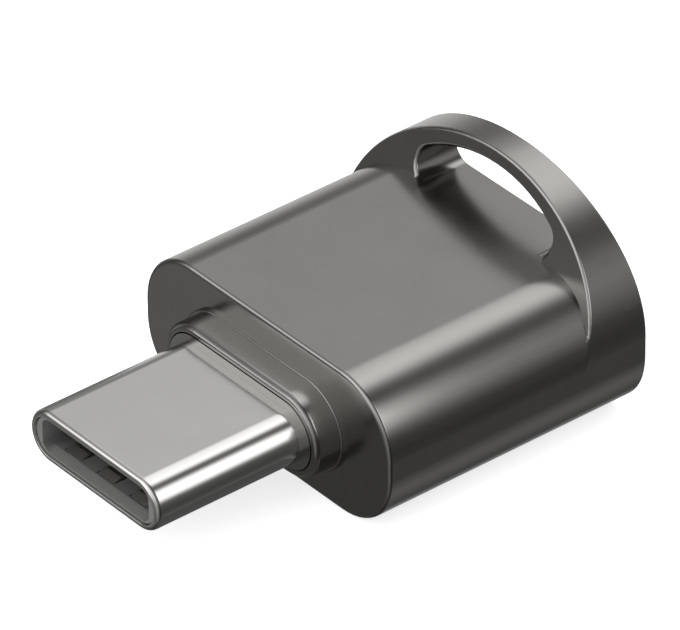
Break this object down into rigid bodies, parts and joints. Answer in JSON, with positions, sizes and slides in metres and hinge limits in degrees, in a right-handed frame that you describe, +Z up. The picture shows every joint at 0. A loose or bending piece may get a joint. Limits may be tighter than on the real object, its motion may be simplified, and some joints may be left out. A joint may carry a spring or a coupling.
{
  "type": "memory card reader",
  "caption": "Pocket memory card reader: a rounded metal case with a plug in front, a card slot behind and an arched keyring loop over its rear edge.",
  "frame": {"origin": "middle of the overall box, on the flat bottom of the case", "axes": "+Y from the plug's mouth to the rear face with the card slot, +X to the right, +Z up"},
  "size_m": [0.0156, 0.0224, 0.0098],
  "materials": {
    "case_metal": "satin gunmetal plating on a zinc alloy casting",
    "plug_steel": "smooth drawn stainless steel, satin polish",
    "spring_steel": "stamped stainless strip",
    "contact_gold": "gold-plated copper alloy strip",
    "lead_tin": "tin-plated leads",
    "seal_plating": "satin grey plating on a moulded ring",
    "grey_plastic": "smooth dark grey moulding",
    "black_plastic": "fine matte moulding",
    "chip_epoxy": "moulded epoxy",
    "board": "green solder resist on glass-fibre laminate",
    "ceramic": "fired ceramic",
    "resistor_film": "coated film on ceramic"
  },
  "bodies": {
    "root": {"housing": "case_metal", "rear_bezel": "black_plastic", "plug_seal": "seal_plating", "plug_shell": "plug_steel", "plug_insulator": "grey_plastic", "plug_rear_block": "black_plastic", "plug_contacts_upper": "contact_gold", "plug_contacts_lower": "contact_gold", "plug_latch": "spring_steel", "ground_spring_upper": "spring_steel", "ground_spring_lower": "spring_steel", "circuit_board": "board", "controller_chip": "chip_epoxy", "controller_leads": "lead_tin", "crystal_base": "ceramic", "crystal_lid": "lead_tin", "regulator_body": "chip_epoxy", "regulator_leads": "lead_tin", "capacitors": "ceramic", "resistors": "resistor_film", "card_socket_base": "black_plastic", "card_socket_shield": "spring_steel", "card_socket_contacts": "contact_gold", "card_detect_spring": "contact_gold"}
  },
  "joints": []
}
